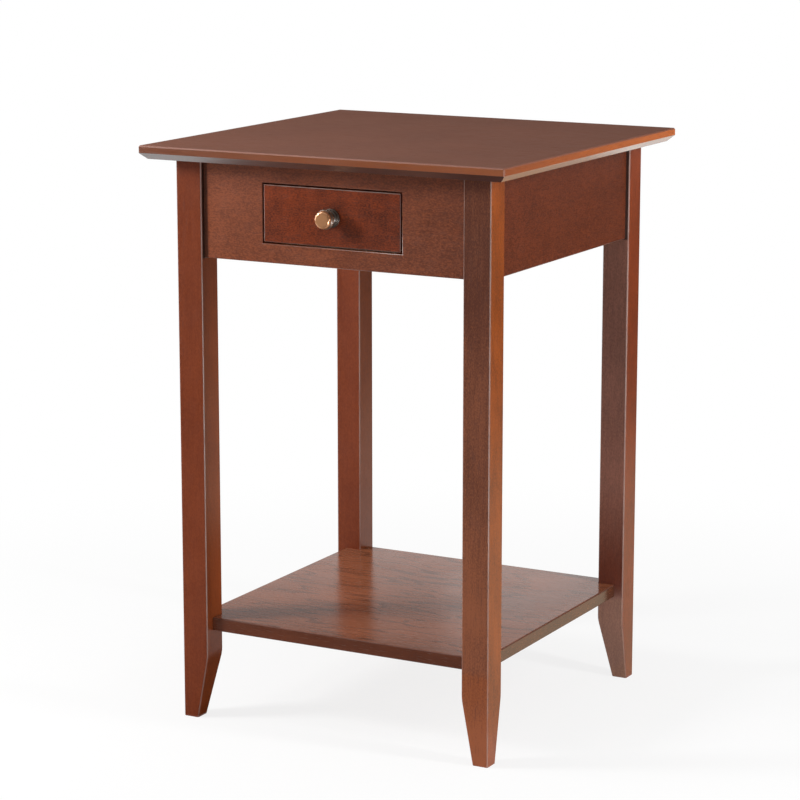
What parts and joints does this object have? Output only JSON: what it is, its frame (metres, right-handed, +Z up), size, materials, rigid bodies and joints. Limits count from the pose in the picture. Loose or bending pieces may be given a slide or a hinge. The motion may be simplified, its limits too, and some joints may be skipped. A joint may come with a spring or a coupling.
{
  "type": "end table",
  "caption": "Square end table with tapered feet, a low open shelf and one inset drawer that slides out to the front.",
  "frame": {"origin": "on the floor, under the middle of the square top", "axes": "+Z up along the height, the drawer faces -Y, +X to the right of someone facing the drawer"},
  "size_m": [0.468, 0.468, 0.686],
  "materials": {
    "stained_wood": "satin lacquer over cherry-brown stain",
    "plain_wood": "bare sanded hardwood",
    "plywood": "sanded thin plywood",
    "zinc_steel": "zinc plated",
    "knob_metal": "antique brass, polished"
  },
  "bodies": {
    "frame": {"table_top": "stained_wood", "leg_front_left": "stained_wood", "leg_front_right": "stained_wood", "leg_back_left": "stained_wood", "leg_back_right": "stained_wood", "front_apron": "stained_wood", "back_apron": "stained_wood", "left_apron": "stained_wood", "right_apron": "stained_wood", "shelf": "stained_wood", "corner_block_front_left": "plain_wood", "corner_block_front_right": "plain_wood", "corner_block_back_left": "plain_wood", "corner_block_back_right": "plain_wood", "corner_block_screws": "zinc_steel", "top_screws": "zinc_steel", "kicker_screws": "zinc_steel", "out_stop_screws": "zinc_steel", "shelf_dowels": "plain_wood", "left_kicker": "plain_wood", "right_kicker": "plain_wood", "left_runner": "plain_wood", "right_runner": "plain_wood", "drawer_back_stops": "plain_wood", "drawer_out_stops": "plain_wood"},
    "drawer": {"drawer_front": "stained_wood", "drawer_left_side": "plain_wood", "drawer_right_side": "plain_wood", "drawer_back": "plain_wood", "drawer_bottom": "plywood", "drawer_bottom_screws": "zinc_steel", "knob": "knob_metal", "knob_screw": "zinc_steel"}
  },
  "joints": [
    {"name": "drawer_slide", "type": "slide", "parent": "frame", "child": "drawer", "axis": [0, -1, 0], "range_m": [0, 0.2]}
  ]
}
